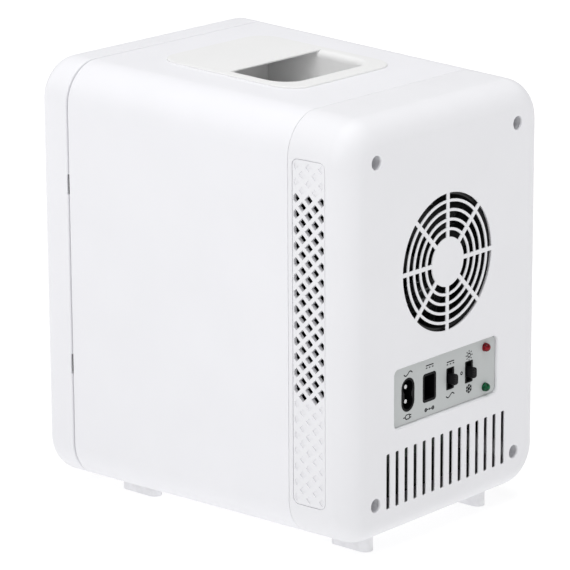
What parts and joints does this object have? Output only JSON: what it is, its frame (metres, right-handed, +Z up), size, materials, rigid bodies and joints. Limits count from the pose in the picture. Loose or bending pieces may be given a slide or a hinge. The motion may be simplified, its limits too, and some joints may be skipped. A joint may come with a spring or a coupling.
{
  "type": "mini fridge",
  "caption": "Small thermoelectric cooler and warmer with a hinged door, a carrying grip in the top, a rear fan grille and a panel of power inlets and slide switches.",
  "frame": {"origin": "centre of the bounding box in plan, on the floor under the feet", "axes": "+X to the hinge side, +Y to the rear with the fan grille, -Y out of the door, +Z up"},
  "size_m": [0.1884, 0.2334, 0.2629],
  "materials": {
    "housing": "fine satin moulded plastic",
    "grip": "satin moulded plastic",
    "screw": "zinc plated",
    "hinge": "satin moulded plastic",
    "strike": "plain steel",
    "foam": "expanded white foam, stated total mass covers its low density",
    "liner": "smooth pressed plastic",
    "shelf": "smooth clear-white plastic",
    "back_plate": "plain moulded plastic",
    "cold_plate": "brushed, clear lacquered",
    "peltier": "white ceramic",
    "heat_sink": "extruded, mill finish",
    "sensor": "matt black",
    "fan": "matt black glass-filled",
    "bearing": "sintered bronze",
    "shaft": "ground steel",
    "panel": "matt pale grey sheet",
    "socket": "matt black",
    "pin": "bright nickel",
    "dc_pin": "bright brass",
    "switch": "matt black",
    "knob": "glossy black",
    "red_lamp": "dark tinted, unlit",
    "green_lamp": "dark tinted, unlit",
    "board": "green lacquered laminate",
    "transformer": "yellow wrapped tape",
    "capacitor": "dark sleeved can",
    "lead": "insulated wire",
    "red_lead": "insulated wire",
    "foot": "off-white rubber",
    "door": "fine satin moulded plastic",
    "door_liner": "smooth pressed plastic",
    "gasket": "soft pale grey",
    "magnet": "dark ferrite",
    "hinge_pin": "ground steel"
  },
  "bodies": {
    "cabinet": {"main_housing": "housing", "rear_cover": "housing", "left_vent_grille": "housing", "right_vent_grille": "housing", "handle_plate": "grip", "handle_tub": "grip", "handle_screws": "screw", "front_frame": "housing", "upper_hinge_bracket": "hinge", "lower_hinge_bracket": "hinge", "hinge_screws": "screw", "strike_plate": "strike", "foam_insulation": "foam", "inner_liner": "liner", "shelf": "shelf", "back_plate": "back_plate", "cold_plate": "cold_plate", "cold_plate_screws": "screw", "cold_block": "cold_plate", "peltier_module": "peltier", "heat_sink": "heat_sink", "temperature_sensor": "sensor", "fan_frame": "fan", "fan_bearing": "bearing", "fan_screws": "screw", "control_panel": "panel", "ac_inlet": "socket", "ac_inlet_pins": "pin", "dc_socket": "socket", "dc_socket_pins": "dc_pin", "power_switch_body": "switch", "mode_switch_body": "switch", "red_led": "red_lamp", "green_led": "green_lamp", "power_board": "board", "transformer": "transformer", "capacitors": "capacitor", "board_heat_sinks": "heat_sink", "fan_lead": "lead", "module_leads": "red_lead", "rear_screws": "screw", "feet": "foot", "foot_screws": "screw"},
    "door": {"door_shell": "door", "door_liner": "door_liner", "door_foam": "foam", "door_gasket": "gasket", "door_magnet": "magnet", "hinge_pins": "hinge_pin"},
    "fan": {"fan_rotor": "fan", "fan_shaft": "shaft"},
    "power_knob": {"power_switch_knob": "knob"},
    "mode_knob": {"mode_switch_knob": "knob"}
  },
  "joints": [
    {"name": "door_hinge", "type": "hinge", "parent": "cabinet", "child": "door", "pos_m": [0.08992, -0.09815, 0.137], "axis": [0, 0, 1], "range_deg": [0, 105]},
    {"name": "fan_spin", "type": "hinge", "parent": "cabinet", "child": "fan", "pos_m": [0, 0.10185, 0.162], "axis": [0, 1, 0], "continuous": true},
    {"name": "power_switch_slide", "type": "slide", "parent": "cabinet", "child": "power_knob", "axis": [0, 0, 1], "range_m": [-0.0025, 0.0025]},
    {"name": "mode_switch_slide", "type": "slide", "parent": "cabinet", "child": "mode_knob", "axis": [0, 0, 1], "range_m": [-0.0025, 0.0025]}
  ]
}
